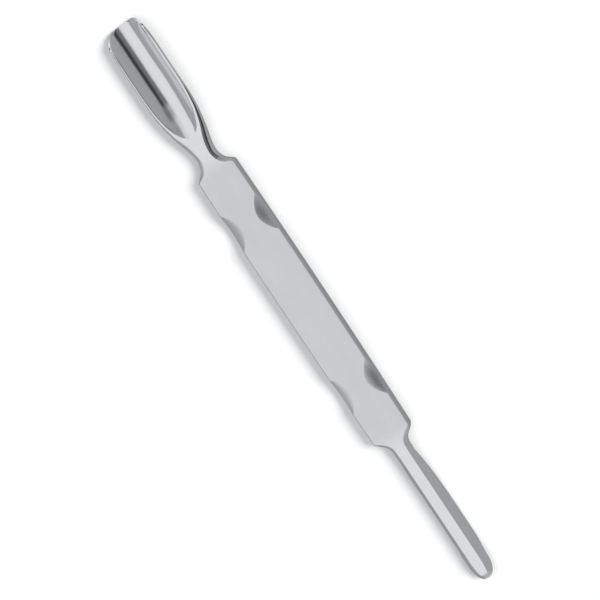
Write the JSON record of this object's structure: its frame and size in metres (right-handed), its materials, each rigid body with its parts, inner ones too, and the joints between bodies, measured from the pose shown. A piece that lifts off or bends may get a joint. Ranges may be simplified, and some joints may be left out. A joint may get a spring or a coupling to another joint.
{
  "type": "cuticle pusher",
  "caption": "Flat satin-steel handle with thumb scallops along its front edges, a polished concave scoop at one end and a slim round-tipped pusher at the other.",
  "frame": {"origin": "on the surface that the tool rests on, under the middle of its length and width", "axes": "+X along the tool towards the scoop's tip, +Y across the handle, +Z out of the handle's front face"},
  "size_m": [0.13, 0.0092, 0.0026],
  "materials": {
    "satin_steel": "fine satin, ground flat, with softly eased edges",
    "polished_steel": "bare stainless steel polished to a soft mirror, with hairline polishing marks; not plated"
  },
  "bodies": {
    "root": {"handle": "satin_steel", "scoop_pusher": "polished_steel", "slim_pusher": "polished_steel"}
  },
  "joints": []
}
